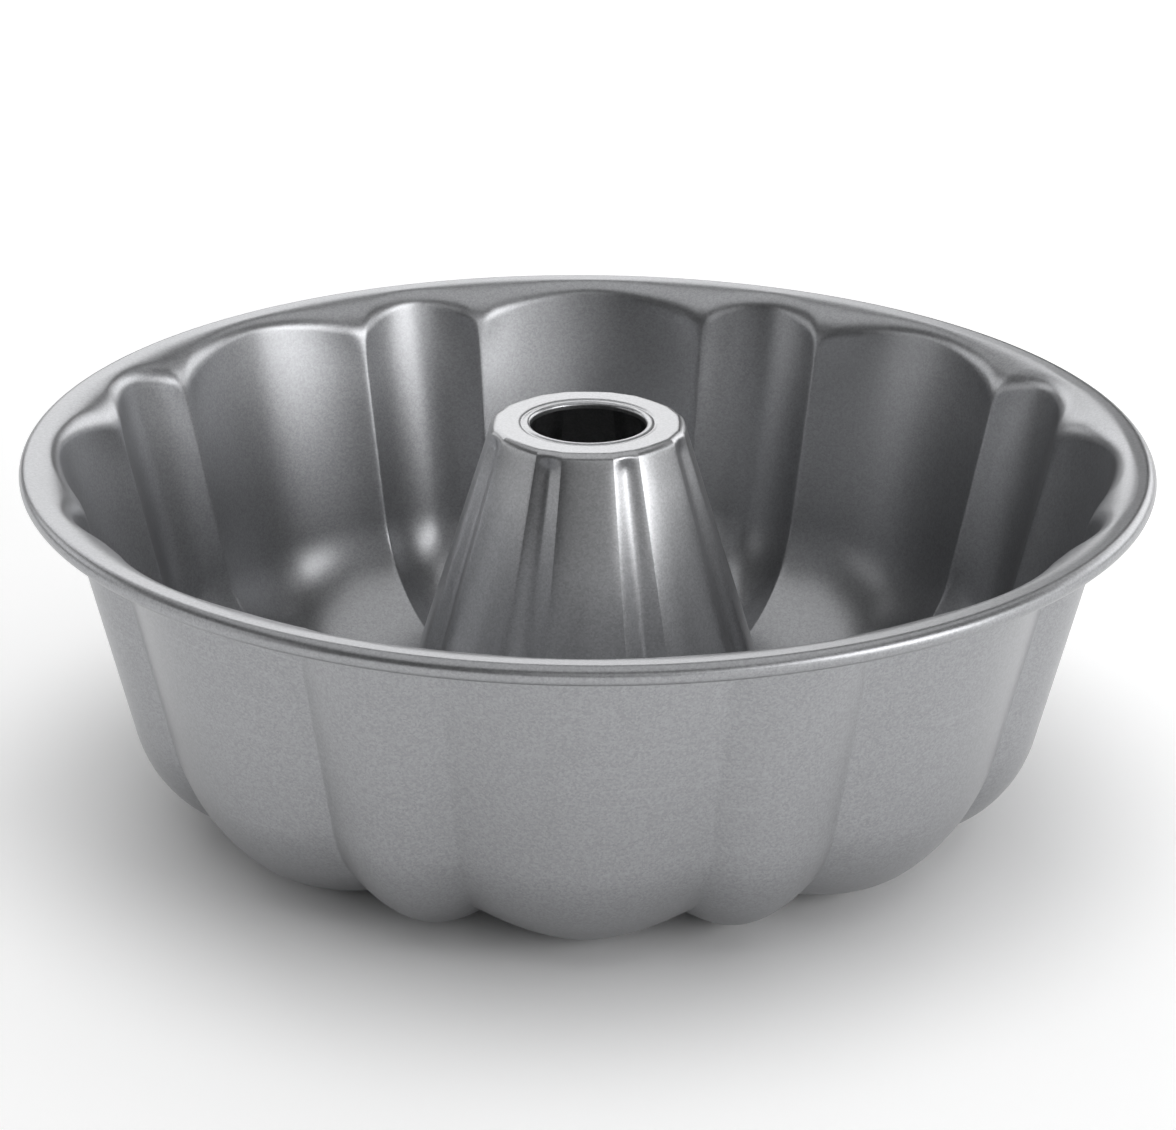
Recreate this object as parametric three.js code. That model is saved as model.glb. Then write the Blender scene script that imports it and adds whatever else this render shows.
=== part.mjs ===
// Fluted tube cake pan of pressed steel sheet: a lobed pan body with a curled rim,
// a steel wire inside the curl, and a fluted centre tube seamed into the pan floor.
//
// Units are millimetres, +Z is up, and the pan stands on Z = 0 with its axis on Z.
// Angles are in degrees, measured from -Y towards +X. A meridian is the line that a
// vertical half-plane through the axis cuts from a surface, as [radius, height] points.

import * as THREE from 'three';

// ---------------------------------------------------------------- driving dimensions

const rimRadius = 127;          // outermost radius, at the curled rim
const rimHeight = 83.2;         // top of the curled rim
const sheet = 0.6;              // steel sheet thickness
const clearance = 0.3;          // gap between pieces that touch

const lobeCount = 8;            // wide lobes, with a narrow lobe between each two
const wideHalfAngle = 14.65;    // from the middle of a wide lobe to its crease

const beadRadius = 2.15;        // outer radius of the curled rim
const curlStart = 195;          // direction of the sheet's edge, seen from the curl's centre
const flangeSlope = 4;          // fall of the flange towards the middle
const wireRadius = 1.2;

const wallRadius = 115.1;       // creases' wall line, extended up to the rim's height
const wallSlope = 0.238;        // radius lost per millimetre of depth
const wallRelief = 4.4;         // how far a wide lobe stands out of the wall
const floorHeight = 5.8;        // creases on the floor
const floorRelief = 5.65;       // how far a wide lobe would reach below them without its flat land
const narrowRelief = 0.92;      // relief of a narrow lobe, as a share of a wide one's
const archStart = 6;            // flange left plain before a lobe's rounded top begins
const archLength = 20;          // length of that rounded top along the meridian
const wideArchInset = 0.38;     // how much narrower a wide lobe is at its very top
const narrowArchInset = 0.38;
const wideBulge = 1.7;          // exponent of a wide lobe's arc across its width
const narrowBulge = 1.8;
const creaseSoftness = 0.05;    // rounding of the creases, as a share of the relief

const creaseBends = { shoulder: 11, corner: 31.5, knee: 20, shelf: 12 };
const lobeBends = { shoulder: 4, corner: 36.1, knee: 7, shelf: 5 };

const kneeRadius = 63.5;        // where the floor starts to rise to the seam shelf
const shelfRadius = 55.5;       // outer edge of the level shelf round the tube
const shelfHeight = 6.9;
const neckBend = 1.3;
const neckGap = 0.45;           // between the tube and the neck of the pan body
const hemHeight = 3.6;          // upper face of the neck's outward hem
const hemRadius = 52.6;

const tubeTop = 87.9;           // level ring on the tube
const tubeTopRadius = 22;       // where the ring's plane meets the cone
const tubeSlope = 0.3134;       // radius gained per millimetre downwards
const tubeShoulder = 2.2;
const facetBulge = 0.5;         // of the facets between the grooves: 0 is flat, 1 is round
const holeRadius = 13.1;
const lipDepth = 1.5;
const lipBend = 0.8;
const footBend = 0.9;
const hookBend = 0.3;
const hookLength = 2.6;
const grooveDepth = 0.052;      // as a share of the tube's radius
const grooveStart = 4;          // below the ring, over which the grooves deepen
const fluteFoot = [9, 17];      // heights between which the flutes fade into a round foot

// ---------------------------------------------------------------- meridian building blocks

const radians = Math.PI / 180;
const clamp01 = (value) => Math.min(1, Math.max(0, value));
const smooth = (value) => clamp01(value) ** 2 * (3 - 2 * clamp01(value));
const mix = (from, to, share) => from.map((value, k) => value + share * (to[k] - value));

function line(from, to) {
  const length = Math.hypot(to[0] - from[0], to[1] - from[1]);
  return { length, at: (share) => mix(from, to, share) };
}

// An arc from a start direction, seen from its centre, that turns by a signed angle.
function arc(centre, radius, start, turn) {
  const at = (share) => {
    const direction = start + share * turn;
    return [centre[0] + radius * Math.cos(direction), centre[1] + radius * Math.sin(direction)];
  };
  return { length: Math.abs(radius * turn), at };
}

// Straight lines through the corners, with an arc of its own radius at each inner corner.
function filleted(corners, bends) {
  const parts = [];
  let from = corners[0];
  bends.forEach((radius, k) => {
    const [last, corner, next] = corners.slice(k, k + 3);
    const before = Math.atan2(corner[1] - last[1], corner[0] - last[0]);
    const after = Math.atan2(next[1] - corner[1], next[0] - corner[0]);
    const turn = Math.atan2(Math.sin(after - before), Math.cos(after - before));
    const side = before + Math.sign(turn) * Math.PI / 2;
    const reach = radius * Math.tan(Math.abs(turn) / 2);
    const start = [corner[0] - reach * Math.cos(before), corner[1] - reach * Math.sin(before)];
    const centre = [start[0] + radius * Math.cos(side), start[1] + radius * Math.sin(side)];
    parts.push(line(from, start), arc(centre, radius, side + Math.PI, turn));
    from = [corner[0] + reach * Math.cos(after), corner[1] + reach * Math.sin(after)];
  });
  parts.push(line(from, corners.at(-1)));
  return parts;
}

// ---------------------------------------------------------------- lobe pattern

const pitch = 360 / lobeCount;
const narrowHalfAngle = pitch / 2 - wideHalfAngle;

// Unsigned angle from the middle of the nearest wide lobe.
function fromWideLobe(angle) {
  return Math.abs(((angle + pitch / 2) % pitch + pitch) % pitch - pitch / 2);
}

// Follows a value above zero and fades it smoothly to nothing below zero.
function softRamp(value) {
  return (value + Math.hypot(value, creaseSoftness)) / 2;
}

// Relief at an angle: 1 along the middle of a wide lobe and near 0 on a crease.
// arch is 0 on the wall and grows to 1 at a lobe's very top, where its corners are round.
function relief(angle, arch) {
  const inset = 1 - Math.sqrt(1 - arch * arch);
  const wide = fromWideLobe(angle) / wideHalfAngle / (1 - wideArchInset * inset);
  const narrow = (pitch / 2 - fromWideLobe(angle)) / narrowHalfAngle / (1 - narrowArchInset * inset);
  return softRamp(1 - wide ** wideBulge) + narrowRelief * softRamp(1 - narrow ** narrowBulge);
}

// ---------------------------------------------------------------- pan body

const beadCentre = [rimRadius - beadRadius, rimHeight - beadRadius];
const coneRadius = (height) => tubeTopRadius + tubeSlope * (tubeTop - height);
const neckRadius = (height) => coneRadius(height) + neckGap;

// The food side of the pan body from the curl's edge to the hem, along a crease
// (no relief) or along the middle of a wide lobe (full relief).
function bodyMeridian(wallOut, floorDown, bends) {
  const curlUnder = arc(beadCentre, beadRadius, curlStart * radians, (360 - curlStart) * radians);
  const curlOver = arc(beadCentre, beadRadius, 0, (90 + flangeSlope) * radians);
  const flangeStart = curlOver.at(1);
  const fall = Math.tan(flangeSlope * radians);
  const drop = fall * (flangeStart[0] - wallRadius - wallOut) / (1 - fall * wallSlope);
  const floor = floorHeight - floorDown;
  const hemUnderside = hemHeight - sheet;
  const corners = [
    flangeStart,
    [wallRadius + wallOut - wallSlope * drop, flangeStart[1] - drop],
    [wallRadius + wallOut - wallSlope * (rimHeight - floor), floor],
    [kneeRadius, floor],
    [shelfRadius, shelfHeight],
    [neckRadius(shelfHeight), shelfHeight],
    [neckRadius(hemUnderside), hemUnderside],
    [hemRadius, hemUnderside],
  ];
  const radii = [bends.shoulder, bends.corner, bends.knee, bends.shelf, neckBend, neckBend];
  return [curlUnder, curlOver, ...filleted(corners, radii)];
}

const creaseLine = bodyMeridian(0, 0, creaseBends);
const lobeLine = bodyMeridian(wallRelief, floorRelief, lobeBends);
const bodySteps = [4, 3, 1, 4, 5, 4, 1, 1, 1, 1, 1, 1, 1, 1, 1];
const curlParts = 2;
const floorParts = [5, 6, 7, 8];

// Length of the crease line from the inner edge of the curl.
function alongCrease(part, share) {
  const before = creaseLine.slice(curlParts, part).reduce((sum, each) => sum + each.length, 0);
  return part < curlParts ? 0 : before + share * creaseLine[part].length;
}

function bodyPoint(angle, part, share) {
  const arch = 1 - clamp01((alongCrease(part, share) - archStart) / archLength);
  const [radius, height] = mix(creaseLine[part].at(share), lobeLine[part].at(share), relief(angle, arch));
  return [radius, floorParts.includes(part) ? Math.max(height, sheet) : height];
}

// ---------------------------------------------------------------- centre tube

// Share of the round radius at an angle: a slightly bulging facet in line with each
// wide lobe, a groove in line with each narrow one.
function fluteShare(angle, height) {
  const fromGroove = pitch / 2 - fromWideLobe(angle);
  const flat = Math.cos(wideHalfAngle * radians) / Math.cos(fromWideLobe(angle) * radians);
  const facet = flat + facetBulge * (1 - flat);
  const chord = Math.cos(narrowHalfAngle * radians) / Math.cos(fromGroove * radians);
  const depth = grooveDepth * smooth((tubeTop - height) / grooveStart);
  const groove = chord - depth * (1 - fromGroove / narrowHalfAngle);
  const [low, high] = fluteFoot;
  return 1 + ((fromGroove < narrowHalfAngle ? groove : facet) - 1) * smooth((height - low) / (high - low));
}

// The exposed side of the tube: up the lip, over the ring, down the cone, and round
// the inside of the foot's hook, which holds the hem of the pan body.
function tubeMeridian() {
  const foot = hemHeight - sheet - clearance;
  const hookRadius = hemRadius + clearance;
  const hookHeight = hemHeight + clearance;
  const corners = [
    [holeRadius, tubeTop - lipDepth],
    [holeRadius, tubeTop],
    [tubeTopRadius, tubeTop],
    [coneRadius(foot), foot],
    [hookRadius, foot],
    [hookRadius, hookHeight],
    [hookRadius - hookLength, hookHeight],
  ];
  return filleted(corners, [lipBend, tubeShoulder, footBend, hookBend, hookBend]);
}

const tubeLine = tubeMeridian();
const tubeSteps = [1, 1, 1, 2, 5, 1, 1, 1, 1, 1, 1];
const flutedParts = [3, 4];

function tubePoint(angle, part, share) {
  const [radius, height] = tubeLine[part].at(share);
  return [flutedParts.includes(part) ? radius * fluteShare(angle, height) : radius, height];
}

// ---------------------------------------------------------------- solids

const nudge = 0.01;             // step of angle or share, for the direction of a surface

function place(angle, [radius, height]) {
  return new THREE.Vector3(radius * Math.sin(angle * radians), -radius * Math.cos(angle * radians), height);
}

// Joins loops of points, one loop at each angle, into one closed ring-shaped geometry.
function ringGeometry(loops) {
  const size = loops[0].length;
  const faces = [];
  loops.forEach((_, i) => {
    const here = i * size;
    const there = ((i + 1) % loops.length) * size;
    for (let k = 0; k < size; k++) {
      const next = (k + 1) % size;
      faces.push(here + k, there + k, there + next, here + k, there + next, here + next);
    }
  });
  const geometry = new THREE.BufferGeometry();
  geometry.setAttribute('position', new THREE.Float32BufferAttribute(loops.flat().flatMap((p) => p.toArray()), 3));
  geometry.setIndex(faces);
  geometry.computeVertexNormals();
  return geometry;
}

// A sheet of even thickness behind one face. pointAt gives the face at an angle and a
// place on the meridian; behind is 1 or -1, the side of the face where the metal lies.
function sheetGeometry(pointAt, steps, angles, behind) {
  const stops = [[0, 0], ...steps.flatMap((count, part) => (
    Array.from({ length: count }, (_, k) => [part, (k + 1) / count])
  ))];
  const at = (angle, part, share) => place(angle, pointAt(angle, part, clamp01(share)));
  const backPoint = (angle, part, share) => {
    const round = at(angle + nudge, part, share).sub(at(angle - nudge, part, share));
    const down = at(angle, part, share + nudge).sub(at(angle, part, share - nudge));
    return at(angle, part, share).addScaledVector(round.cross(down).normalize(), behind * sheet);
  };
  return ringGeometry(angles.map((angle) => {
    const face = stops.map((stop) => at(angle, ...stop));
    const back = stops.map((stop) => backPoint(angle, ...stop));
    return behind < 0 ? [...face, ...back.reverse()] : [...back, ...face.reverse()];
  }));
}

// The same angles in each pitch of the lobe pattern, all the way round.
function aroundPan(anglesInPitch) {
  const pitches = Array.from({ length: lobeCount }, (_, k) => k * pitch);
  return pitches.flatMap((start) => anglesInPitch.map((angle) => start + angle));
}

const crease = wideHalfAngle;
const bodyAngles = aroundPan([0, 3, 9, crease, 18.5, pitch / 2, 26.5, pitch - crease, 36, 42]);
const tubeAngles = aroundPan([0, 7.3, crease, 18.6, pitch / 2, 26.4, pitch - crease, 37.7]);

function wireLoop(angle) {
  const sides = 8;
  const wire = arc(beadCentre, wireRadius, 0, 2 * Math.PI);
  return Array.from({ length: sides }, (_, k) => place(angle, wire.at(k / sides)));
}

// ---------------------------------------------------------------- assembly

const coatedSteel = new THREE.MeshStandardMaterial({ color: 0x8e9093, roughness: 0.42, metalness: 0.85 });
const coatedTube = new THREE.MeshStandardMaterial({ color: 0x9a9c9f, roughness: 0.38, metalness: 0.85 });
const bareWire = new THREE.MeshStandardMaterial({ color: 0xb4b6b8, roughness: 0.3, metalness: 1 });

function piece(name, geometry, material) {
  const mesh = new THREE.Mesh(geometry, material);
  mesh.name = name;
  return mesh;
}

const pan = new THREE.Group();
pan.add(
  piece('pan_body', sheetGeometry(bodyPoint, bodySteps, bodyAngles, -1), coatedSteel),
  piece('centre_tube', sheetGeometry(tubePoint, tubeSteps, tubeAngles, 1), coatedTube),
  piece('rim_wire', ringGeometry(bodyAngles.map(wireLoop)), bareWire),
);

export default pan;
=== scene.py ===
import math

import bpy
import numpy as np
from mathutils import Matrix, Vector


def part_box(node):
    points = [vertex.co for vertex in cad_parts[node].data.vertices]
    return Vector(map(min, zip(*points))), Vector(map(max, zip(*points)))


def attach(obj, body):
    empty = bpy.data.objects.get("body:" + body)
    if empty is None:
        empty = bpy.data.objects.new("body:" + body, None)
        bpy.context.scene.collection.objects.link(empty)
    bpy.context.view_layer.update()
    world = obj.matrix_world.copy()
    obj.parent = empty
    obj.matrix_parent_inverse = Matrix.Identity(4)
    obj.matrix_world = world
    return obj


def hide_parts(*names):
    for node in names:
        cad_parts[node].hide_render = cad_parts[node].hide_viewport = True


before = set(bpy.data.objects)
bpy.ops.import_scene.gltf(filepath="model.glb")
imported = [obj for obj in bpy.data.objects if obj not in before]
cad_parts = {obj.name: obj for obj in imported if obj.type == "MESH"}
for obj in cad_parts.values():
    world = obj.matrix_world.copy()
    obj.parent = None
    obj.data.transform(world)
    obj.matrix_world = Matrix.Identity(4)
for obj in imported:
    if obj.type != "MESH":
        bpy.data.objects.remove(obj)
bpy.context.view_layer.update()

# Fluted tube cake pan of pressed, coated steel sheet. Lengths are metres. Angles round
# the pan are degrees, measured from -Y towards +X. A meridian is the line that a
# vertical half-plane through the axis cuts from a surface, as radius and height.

MM = 0.001

# ---------------------------------------------------------------- sizes from the frame

rim_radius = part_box("pan_body")[1].x
rim_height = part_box("pan_body")[1].z
tube_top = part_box("centre_tube")[1].z
hook_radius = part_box("centre_tube")[1].x
wire_radius = (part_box("rim_wire")[1].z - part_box("rim_wire")[0].z) / 2
bead_radius = rim_height - (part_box("rim_wire")[1].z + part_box("rim_wire")[0].z) / 2

# ---------------------------------------------------------------- driving dimensions

sheet = 0.6 * MM
clearance = 0.3 * MM
lobe_count = 8
wide_half_angle = 14.65
curl_start = 195
flange_slope = 4

wall_radius = 115.1 * MM
wall_slope = 0.238
wall_relief = 4.4 * MM
floor_height = 5.8 * MM
floor_relief = 5.65 * MM
narrow_relief = 0.92
arch_start = 6 * MM
arch_length = 20 * MM
wide_arch_inset = 0.38
narrow_arch_inset = 0.38
wide_bulge = 1.7
narrow_bulge = 1.8
crease_softness = 0.05

crease_bends = {"shoulder": 11 * MM, "corner": 31.5 * MM, "knee": 20 * MM, "shelf": 12 * MM}
lobe_bends = {"shoulder": 4 * MM, "corner": 36.1 * MM, "knee": 7 * MM, "shelf": 5 * MM}

knee_radius = 63.5 * MM
shelf_radius = 55.5 * MM
shelf_height = 6.9 * MM
neck_bend = 1.3 * MM
neck_gap = 0.45 * MM
hem_height = 3.6 * MM

tube_top_radius = 22 * MM
tube_slope = 0.3134
tube_shoulder = 2.2 * MM
facet_bulge = 0.5
hole_radius = 13.1 * MM
lip_depth = 1.5 * MM
lip_bend = 0.8 * MM
lip_groove = {"radius": 15.1 * MM, "width": 0.5 * MM, "depth": 0.22 * MM}
foot_bend = 0.9 * MM
hook_bend = 0.3 * MM
hook_length = 2.6 * MM
groove_depth = 0.052
groove_start = 4 * MM
groove_softness = 0.3
flute_foot = (9 * MM, 17 * MM)

sharp_edge = 50                    # degrees between faces, above which an edge isn't smoothed

pitch = 360 / lobe_count
narrow_half_angle = pitch / 2 - wide_half_angle


# ---------------------------------------------------------------- meridians

def smooth(value):
    value = np.clip(value, 0, 1)
    return value * value * (3 - 2 * value)


def line(start, end, steps):
    share = np.linspace(0, 1, steps + 1)[:, None]
    return np.array(start) + share * (np.array(end) - np.array(start))


def arc(centre, radius, start, turn, steps):
    direction = start + np.linspace(0, turn, steps + 1)
    return np.array(centre) + radius * np.stack([np.cos(direction), np.sin(direction)], -1)


def filleted(corners, bends, line_steps, arc_steps):
    """Straight lines through the corners, with an arc of its own radius at each inner corner."""
    corners = [np.array(corner, float) for corner in corners]
    parts = []
    start = corners[0]
    for k, radius in enumerate(bends):
        last, corner, after = corners[k:k + 3]
        before = math.atan2(*(corner - last)[::-1])
        onward = math.atan2(*(after - corner)[::-1])
        turn = math.atan2(math.sin(onward - before), math.cos(onward - before))
        side = before + math.copysign(math.pi / 2, turn)
        reach = radius * math.tan(abs(turn) / 2)
        end = corner - reach * np.array([math.cos(before), math.sin(before)])
        centre = end + radius * np.array([math.cos(side), math.sin(side)])
        parts.append(line(start, end, line_steps[k]))
        parts.append(arc(centre, radius, side + math.pi, turn, arc_steps[k]))
        start = corner + reach * np.array([math.cos(onward), math.sin(onward)])
    parts.append(line(start, corners[-1], line_steps[len(bends)]))
    return parts


def chain(parts):
    """One row of points from parts that share their end points."""
    return np.concatenate([parts[0]] + [part[1:] for part in parts[1:]])


def lengths(points):
    """Length along a row of points, at each point."""
    steps = np.linalg.norm(np.diff(points, axis=0), axis=1)
    return np.concatenate([[0], np.cumsum(steps)])


# ---------------------------------------------------------------- lobe pattern

def from_wide_lobe(angles):
    return np.abs((angles + pitch / 2) % pitch - pitch / 2)


def soft_ramp(value, softness):
    return (value + np.hypot(value, softness)) / 2


def relief(angles, arch):
    """Relief of the lobes: 1 along the middle of a wide lobe and near 0 on a crease. arch
    is 0 on the wall and grows to 1 at a lobe's very top, where its corners are round."""
    inset = 1 - np.sqrt(1 - arch * arch)
    away = from_wide_lobe(angles)[:, None]
    wide = away / wide_half_angle / (1 - wide_arch_inset * inset)
    narrow = (pitch / 2 - away) / narrow_half_angle / (1 - narrow_arch_inset * inset)
    return (soft_ramp(1 - wide ** wide_bulge, crease_softness)
            + narrow_relief * soft_ramp(1 - narrow ** narrow_bulge, crease_softness))


def dense_angles():
    """Angles all the way round, closest together at the creases."""
    half = 14
    narrow = 22
    to_crease = wide_half_angle * np.sin(np.linspace(0, math.pi / 2, half, endpoint=False))
    past_crease = wide_half_angle + narrow_half_angle * (
        1 - np.cos(np.linspace(0, math.pi, narrow, endpoint=False)))
    from_crease = pitch - wide_half_angle * np.cos(np.linspace(0, math.pi / 2, half, endpoint=False))
    one = np.concatenate([to_crease, past_crease, from_crease])
    return np.concatenate([one + k * pitch for k in range(lobe_count)])


# ---------------------------------------------------------------- surfaces

def cone_radius(height):
    return tube_top_radius + tube_slope * (tube_top - height)


def neck_radius(height):
    return cone_radius(height) + neck_gap


def body_meridian(wall_out, floor_down, bends):
    """The food side of the pan body from the curl's edge to the hem."""
    bead_centre = (rim_radius - bead_radius, rim_height - bead_radius)
    under = arc(bead_centre, bead_radius, math.radians(curl_start), math.radians(360 - curl_start), 18)
    over = arc(bead_centre, bead_radius, 0, math.radians(90 + flange_slope), 16)
    flange_start = over[-1]
    fall = math.tan(math.radians(flange_slope))
    drop = fall * (flange_start[0] - wall_radius - wall_out) / (1 - fall * wall_slope)
    floor = floor_height - floor_down
    hem_underside = hem_height - sheet
    corners = [
        flange_start,
        (wall_radius + wall_out - wall_slope * drop, flange_start[1] - drop),
        (wall_radius + wall_out - wall_slope * (rim_height - floor), floor),
        (knee_radius, floor),
        (shelf_radius, shelf_height),
        (neck_radius(shelf_height), shelf_height),
        (neck_radius(hem_underside), hem_underside),
        (hook_radius - sheet - clearance, hem_underside),
    ]
    radii = [bends["shoulder"], bends["corner"], bends["knee"], bends["shelf"], neck_bend, neck_bend]
    line_steps = [5, 28, 5, 7, 5, 4, 3]
    arc_steps = [16, 34, 10, 7, 6, 5]
    return [under, over] + filleted(corners, radii, line_steps, arc_steps)


def body_surface(angles):
    """Radius and height of the pan body's food side, and the length along its crease line."""
    crease_parts = body_meridian(0, 0, crease_bends)
    crease = chain(crease_parts)
    lobe = chain(body_meridian(wall_relief, floor_relief, lobe_bends))
    curl_end = sum(len(part) - 1 for part in crease_parts[:2])
    along = lengths(crease)
    arch = 1 - np.clip((along - along[curl_end] - arch_start) / arch_length, 0, 1)
    share = relief(angles, arch)[..., None]
    surface = crease + share * (lobe - crease)
    first = sum(len(part) - 1 for part in crease_parts[:5])
    last = sum(len(part) - 1 for part in crease_parts[:9])
    surface[:, first:last, 1] = np.maximum(surface[:, first:last, 1], sheet)
    return surface, along


def flute_share(angles, height):
    """Share of the tube's round radius: slightly bulging facets in line with the wide
    lobes and grooves in line with the narrow ones."""
    away = from_wide_lobe(angles)
    from_groove = pitch / 2 - away
    flat = math.cos(math.radians(wide_half_angle)) / np.cos(np.radians(away))
    facet = flat + facet_bulge * (1 - flat)
    chord = math.cos(math.radians(narrow_half_angle)) / np.cos(np.radians(from_groove))
    level = np.where(from_groove < narrow_half_angle, chord, facet)
    inward = soft_ramp(1 - np.hypot(from_groove / narrow_half_angle, groove_softness), groove_softness)
    depth = groove_depth * smooth((tube_top - height) / groove_start)
    low, high = flute_foot
    return 1 + (level[:, None] - inward[:, None] * depth - 1) * smooth((height - low) / (high - low))


def tube_surface(angles):
    """Radius and height of the tube's exposed side, and the length along its line."""
    foot = hem_height - sheet - clearance
    inside = hook_radius - sheet
    hook_height = hem_height + clearance
    corners = [
        (hole_radius, tube_top - lip_depth),
        (hole_radius, tube_top),
        (tube_top_radius, tube_top),
        (cone_radius(foot), foot),
        (inside, foot),
        (inside, hook_height),
        (inside - hook_length, hook_height),
    ]
    bends = [lip_bend, tube_shoulder, foot_bend, hook_bend, hook_bend]
    parts = filleted(corners, bends, line_steps=[4, 30, 70, 5, 3, 4], arc_steps=[8, 10, 6, 4, 4])
    profile = chain(parts)
    surface = np.repeat(profile[None], len(angles), 0)
    ring, shoulder, foot_end = (sum(len(part) - 1 for part in parts[:k]) for k in (2, 3, 5))
    share = flute_share(angles, profile[:, 1])
    outward = np.zeros(len(profile))
    outward[ring:shoulder + 1] = np.linspace(0, 1, shoulder + 1 - ring)
    outward[shoulder:foot_end + 1] = 1
    surface[..., 0] *= 1 + (share - 1) * outward
    offset = (profile[:, 0] - lip_groove["radius"]) / lip_groove["width"]
    on_ring = np.isclose(profile[:, 1], tube_top, atol=0.1 * MM)
    surface[..., 1] -= lip_groove["depth"] * np.exp(-offset ** 2) * on_ring
    return surface, lengths(profile)


def placed(angles, surface):
    turn = np.radians(angles)[:, None]
    radius, height = surface[..., 0], surface[..., 1]
    return np.stack([radius * np.sin(turn), -radius * np.cos(turn), height], -1)


def behind(points, side):
    """The same grid of points, one sheet thickness behind it."""
    around = np.roll(points, -1, 0) - np.roll(points, 1, 0)
    along = np.gradient(points, axis=1)
    normal = np.cross(around, along)
    normal /= np.linalg.norm(normal, axis=-1, keepdims=True)
    return points + side * sheet * normal


# ---------------------------------------------------------------- meshes

def ring_object(name, angles, loops, along):
    """Closed ring-shaped mesh from one closed loop of points at each angle. The UV map
    holds lengths: round the rim, and along the loop."""
    count, size = loops.shape[:2]
    i, k = np.meshgrid(np.arange(count), np.arange(size), indexing="ij")
    there, after = (i + 1) % count, (k + 1) % size
    corners = np.stack([i * size + k, there * size + k, there * size + after, i * size + after], -1)
    mesh = bpy.data.meshes.new(name)
    mesh.from_pydata(loops.reshape(-1, 3).tolist(), [], corners.reshape(-1, 4).tolist())
    round_here = np.radians(angles) * rim_radius
    round_next = np.append(round_here[1:], 2 * math.pi * rim_radius)
    along_next = np.append(along[1:], along[-1])
    across = np.stack([round_here[i], round_next[i], round_next[i], round_here[i]], -1)
    up = np.stack([along[k], along[k], along_next[k], along_next[k]], -1)
    layer = mesh.uv_layers.new(name="lengths")
    layer.data.foreach_set("uv", np.stack([across, up], -1).ravel().astype(np.float32))
    mesh.shade_smooth()
    mesh.set_sharp_from_angle(angle=math.radians(sharp_edge))
    mesh.update()
    piece = bpy.data.objects.new(name, mesh)
    bpy.context.scene.collection.objects.link(piece)
    return piece


def sheet_object(name, surface_of, side):
    """A pressed sheet: the face that surface_of gives, the same face one thickness
    behind it, and the cut edges between them."""
    angles = dense_angles()
    surface, along = surface_of(angles)
    face = placed(angles, surface)
    back = behind(face, side)
    if side < 0:
        loops = np.concatenate([face, back[:, ::-1]], 1)
    else:
        loops = np.concatenate([back, face[:, ::-1]], 1)
    return ring_object(name, angles, loops, np.concatenate([along, along[::-1]]))


def wire_object(name):
    angles = dense_angles()
    centre = (rim_radius - bead_radius, rim_height - bead_radius)
    sides = 24
    section = arc(centre, wire_radius, 0, 2 * math.pi, sides)[:-1]
    surface = np.repeat(section[None], len(angles), 0)
    return ring_object(name, angles, placed(angles, surface), lengths(section))


body = sheet_object("pressed_pan_body", body_surface, -1)
tube = sheet_object("fluted_centre_tube", tube_surface, 1)
wire = wire_object("rim_core_wire")


# ---------------------------------------------------------------- materials

class Nodes:
    """Short calls for building one material's node tree."""

    def __init__(self, name):
        self.material = bpy.data.materials.new(name)
        self.material.use_nodes = True
        self.tree = self.material.node_tree
        self.shader = self.tree.nodes["Principled BSDF"]

    def add(self, kind, inputs=None, **settings):
        node = self.tree.nodes.new(kind)
        for key, value in settings.items():
            setattr(node, key, value)
        for key, value in (inputs or {}).items():
            self.set(node.inputs[key], value)
        return node

    def set(self, socket, value):
        if isinstance(value, bpy.types.NodeSocket):
            self.tree.links.new(value, socket)
        else:
            socket.default_value = value

    def math(self, operation, *values):
        node = self.add("ShaderNodeMath", operation=operation)
        for k, value in enumerate(values):
            self.set(node.inputs[k], value)
        return node.outputs[0]

    def ramp(self, value, low, high, start, end):
        """Maps low..high to start..end, smoothly and clamped."""
        node = self.add("ShaderNodeMapRange", interpolation_type="SMOOTHSTEP")
        for key, number in zip(("Value", "From Min", "From Max", "To Min", "To Max"),
                               (value, low, high, start, end)):
            self.set(node.inputs[key], number)
        return node.outputs[0]

    def noise(self, where, scale, detail=2.0):
        node = self.add("ShaderNodeTexNoise", {"Vector": where, "Scale": scale, "Detail": detail})
        return node.outputs[0]


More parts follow.
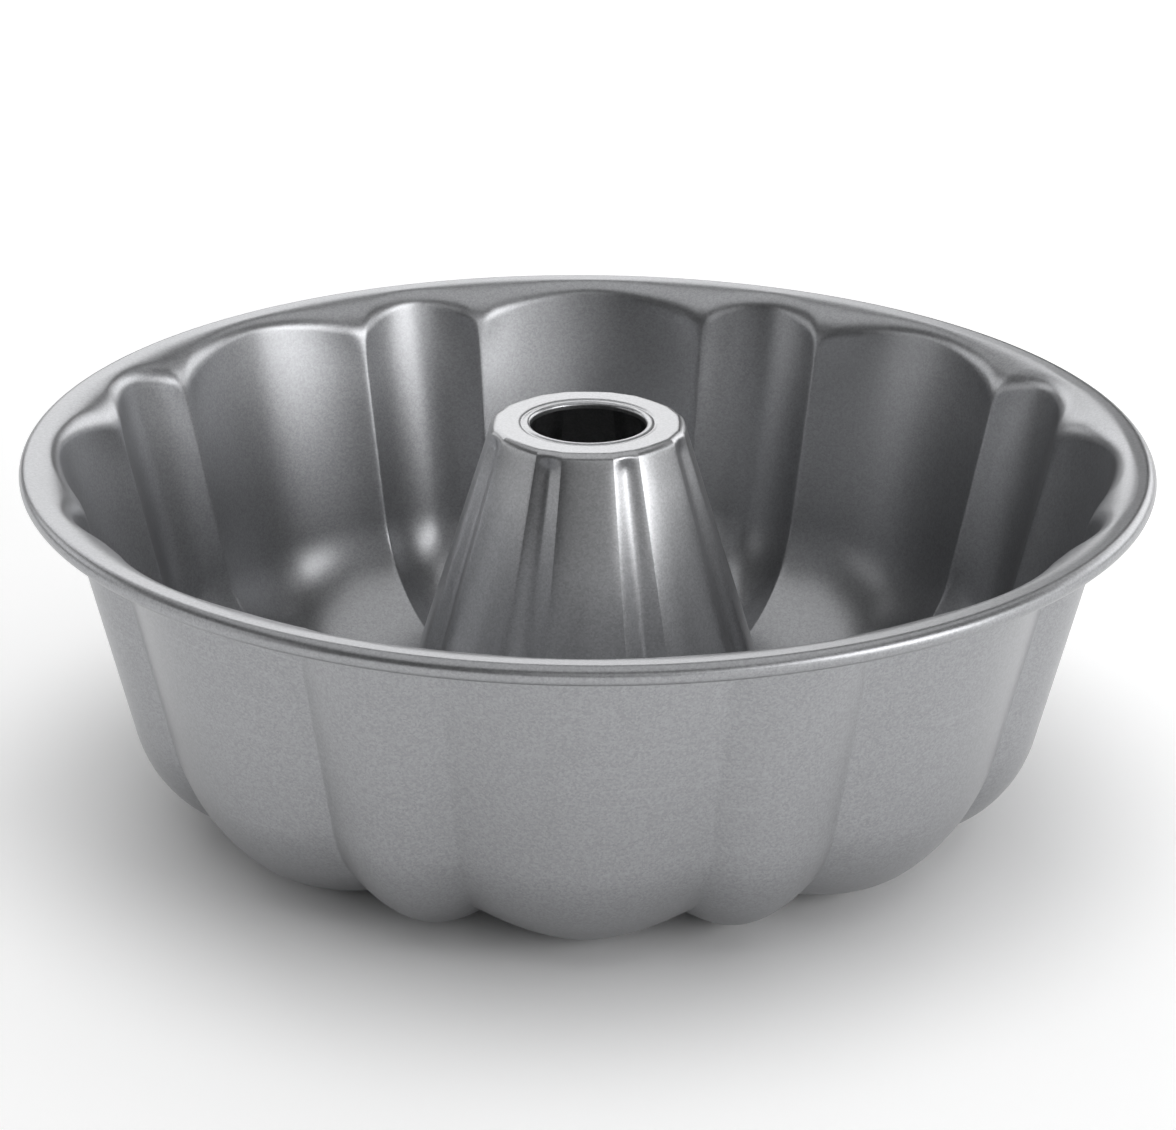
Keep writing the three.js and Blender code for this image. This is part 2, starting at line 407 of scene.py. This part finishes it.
def coated_steel(name, tone, roughness):
    """Silver-grey metallic non-stick coating: flake grain, faint draw lines and a few specks."""
    n = Nodes(name)
    where = n.add("ShaderNodeTexCoord").outputs["Object"]
    flakes = n.add("ShaderNodeTexVoronoi", {"Vector": where, "Scale": 2600.0})
    flake = n.add("ShaderNodeSeparateColor", {"Color": flakes.outputs["Color"]}).outputs[0]
    grain = n.noise(where, 1500.0, 3.0)
    cloud = n.noise(where, 14.0, 3.0)

    lengths_map = n.add("ShaderNodeUVMap", uv_map="lengths").outputs[0]
    stretched = n.add("ShaderNodeMapping", {"Vector": lengths_map, "Scale": (9.0, 900.0, 1.0)}).outputs[0]
    lines = n.noise(stretched, 1.0, 4.0)
    where_drawn = n.ramp(n.noise(where, 22.0, 2.0), 0.5, 0.62, 0.0, 1.0)
    draw = n.math("MULTIPLY", n.ramp(lines, 0.56, 0.72, 0.0, 1.0), where_drawn)

    bright = n.math("MULTIPLY_ADD", flake, 0.22, 0.89)
    bright = n.math("MULTIPLY", bright, n.math("MULTIPLY_ADD", grain, 0.2, 0.9))
    bright = n.math("MULTIPLY", bright, n.math("MULTIPLY_ADD", cloud, 0.1, 0.95))
    bright = n.math("MULTIPLY_ADD", draw, 0.08, bright)

    specks = n.add("ShaderNodeTexVoronoi", {"Vector": where, "Scale": 60.0})
    chosen = n.add("ShaderNodeSeparateColor", {"Color": specks.outputs["Color"]}).outputs[1]
    speck = n.math("MULTIPLY", n.ramp(specks.outputs["Distance"], 0.012, 0.03, 1.0, 0.0),
                   n.ramp(chosen, 0.84, 0.86, 0.0, 1.0))
    bright = n.math("MULTIPLY", bright, n.math("MULTIPLY_ADD", speck, -0.55, 1.0))

    colour = n.add("ShaderNodeMix", data_type="RGBA", blend_type="MULTIPLY", clamp_factor=True)
    colour.inputs["Factor"].default_value = 1.0
    n.set(colour.inputs["A"], (*tone, 1.0))
    grey = n.add("ShaderNodeCombineColor", {"Red": bright, "Green": bright, "Blue": bright}).outputs[0]
    n.set(colour.inputs["B"], grey)
    n.set(n.shader.inputs["Base Color"], colour.outputs["Result"])

    rough = n.math("MULTIPLY_ADD", flake, 0.04, roughness - 0.04)
    rough = n.math("MULTIPLY_ADD", cloud, 0.04, rough)
    n.set(n.shader.inputs["Roughness"], rough)
    n.shader.inputs["Metallic"].default_value = 0.92
    n.shader.inputs["Coat Weight"].default_value = 0.12
    n.shader.inputs["Coat Roughness"].default_value = 0.25

    height = n.math("MULTIPLY_ADD", draw, 0.5, grain)
    bump = n.add("ShaderNodeBump", {"Height": height, "Strength": 0.3, "Distance": 0.00002})
    n.set(n.shader.inputs["Normal"], bump.outputs[0])
    return n.material


def drawn_wire(name):
    """Bare steel wire with fine marks along its length."""
    n = Nodes(name)
    lengths_map = n.add("ShaderNodeUVMap", uv_map="lengths").outputs[0]
    stretched = n.add("ShaderNodeMapping", {"Vector": lengths_map, "Scale": (30.0, 2500.0, 1.0)}).outputs[0]
    marks = n.noise(stretched, 1.0, 3.0)
    tone = n.add("ShaderNodeValToRGB", {"Fac": marks})
    tone.color_ramp.elements[0].color = (0.36, 0.36, 0.37, 1)
    tone.color_ramp.elements[1].color = (0.62, 0.62, 0.63, 1)
    n.set(n.shader.inputs["Base Color"], tone.outputs[0])
    n.set(n.shader.inputs["Roughness"], n.ramp(marks, 0.3, 0.7, 0.28, 0.42))
    n.shader.inputs["Metallic"].default_value = 1.0
    return n.material


body.data.materials.append(coated_steel("pan_coating_finish", (0.35, 0.354, 0.366), 0.33))
tube.data.materials.append(coated_steel("tube_coating_finish", (0.42, 0.424, 0.435), 0.31))
wire.data.materials.append(drawn_wire("wire_steel_finish"))

for piece, node, slot in ((body, "pan_body", "pan_coating"), (tube, "centre_tube", "tube_coating"),
                          (wire, "rim_wire", "wire_steel")):
    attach(piece, "root")
    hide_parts(node)


# ---------------------------------------------------------------- camera

def aim_camera():
    """Camera in front of the pan and above it. Its place and target are in rim radii from
    the rim's centre."""
    lens = 105.82
    distance, elevation, azimuth = 6.142, math.radians(20.11), math.radians(0.21)
    target_right, target_down, roll = 0.0015, 0.2372, math.radians(0.424)
    centre = Vector((0, 0, rim_height))
    away = Vector((math.sin(azimuth) * math.cos(elevation), -math.cos(azimuth) * math.cos(elevation),
                   math.sin(elevation)))
    place = centre + away * distance * rim_radius
    target = centre + Vector((target_right, 0, -target_down)) * rim_radius
    back = (place - target).normalized()
    right = Vector((0, 0, 1)).cross(back).normalized()
    up = back.cross(right)
    tilted_right = math.cos(roll) * right + math.sin(roll) * up
    tilted_up = math.cos(roll) * up - math.sin(roll) * right
    camera = bpy.data.objects.new("camera", bpy.data.cameras.new("camera"))
    camera.data.lens = lens
    turned = Matrix((tilted_right, tilted_up, back)).transposed().to_4x4()
    camera.matrix_world = Matrix.Translation(place) @ turned
    bpy.context.scene.collection.objects.link(camera)
    bpy.context.scene.camera = camera


# ---------------------------------------------------------------- studio

studio_radius = 1.6
world_level = 0.07                 # light that the pan gets from all round
backdrop_level = 0.9               # how pale the same surroundings look past the floor's edge
glow_beyond_painted_shadow = 0.36                   # lifts the floor to white, but not under or beside the pan, where the missing glow is a painted contact shadow
painted_shadow_reach = (0.6, 1.25)      # where the glow begins past the painted shadow and where it is full, in rim radii
far_glow = 0.5                     # keeps the floor pale beyond the reach of the lights
far_glow_reach = (4, 14)


def softbox(name, azimuth, elevation, width, height, radiance):
    """Rectangular soft light turned to the pan. Its azimuth is 0 in front of the pan and
    90 at its right; radiance is what a mirror would show of it."""
    out, up = math.radians(azimuth), math.radians(elevation)
    target = Vector((0, 0, rim_height / 2))
    away = Vector((math.sin(out) * math.cos(up), -math.cos(out) * math.cos(up), math.sin(up)))
    data = bpy.data.lights.new(name, "AREA")
    data.shape = "RECTANGLE"
    data.size, data.size_y = width, height
    data.energy = math.pi * width * height * radiance
    light = bpy.data.objects.new(name, data)
    light.location = target + away * studio_radius
    light.rotation_euler = away.to_track_quat("Z", "Y").to_euler()
    light.visible_camera = False
    bpy.context.scene.collection.objects.link(light)


def make_floor():
    size = 12.0
    mesh = bpy.data.meshes.new("floor")
    corners = [(-size, -size, 0), (size, -size, 0), (size, size, 0), (-size, size, 0)]
    mesh.from_pydata(corners, [], [(0, 1, 2, 3)])
    floor = bpy.data.objects.new("floor", mesh)
    bpy.context.scene.collection.objects.link(floor)
    n = Nodes("pale_floor")
    n.shader.inputs["Base Color"].default_value = (0.9, 0.9, 0.9, 1)
    n.shader.inputs["Roughness"].default_value = 0.85
    where = n.add("ShaderNodeTexCoord").outputs["Object"]
    from_middle = n.add("ShaderNodeVectorMath", {0: where}, operation="LENGTH").outputs["Value"]
    n.shader.inputs["Emission Color"].default_value = (1, 1, 1, 1)
    # The floor glows, but not under or beside the pan: the dark ring this leaves round the pan, and under
    # the tube's hole, is a painted contact shadow.
    glow_beyond_shadow = n.ramp(from_middle, *(share * rim_radius for share in painted_shadow_reach), 0.0, glow_beyond_painted_shadow)
    far = n.ramp(from_middle, *(share * rim_radius for share in far_glow_reach), 0.0, far_glow)
    n.set(n.shader.inputs["Emission Strength"], n.math("ADD", glow_beyond_shadow, far))
    floor.data.materials.append(n.material)


def make_world():
    world = bpy.data.worlds.new("studio")
    world.use_nodes = True
    background = world.node_tree.nodes["Background"]
    background.inputs["Color"].default_value = (1, 1, 1, 1)
    seen = world.node_tree.nodes.new("ShaderNodeLightPath").outputs["Is Camera Ray"]
    level = world.node_tree.nodes.new("ShaderNodeMapRange")
    level.inputs["To Min"].default_value = world_level
    level.inputs["To Max"].default_value = backdrop_level
    world.node_tree.links.new(seen, level.inputs["Value"])
    world.node_tree.links.new(level.outputs[0], background.inputs["Strength"])
    bpy.context.scene.world = world


aim_camera()
make_floor()
make_world()
softbox("right_key", 60, 16, 1.0, 0.7, 4.4)
softbox("right_side", 98, 15, 0.8, 0.6, 1.4)
softbox("right_front", 30, 14, 0.6, 0.4, 1.6)
softbox("right_back", 135, 20, 1.2, 0.7, 2.4)
softbox("back", 195, 25, 1.25, 0.7, 2.0)
softbox("left_back", 240, 20, 0.8, 0.6, 1.4)
softbox("left", 280, 15, 1.2, 0.6, 0.9)
softbox("front_fill", 5, 24, 0.9, 0.6, 0.6)
softbox("overhead", 0, 90, 2.4, 2.4, 0.8)

bpy.context.scene.view_settings.view_transform = "Standard"
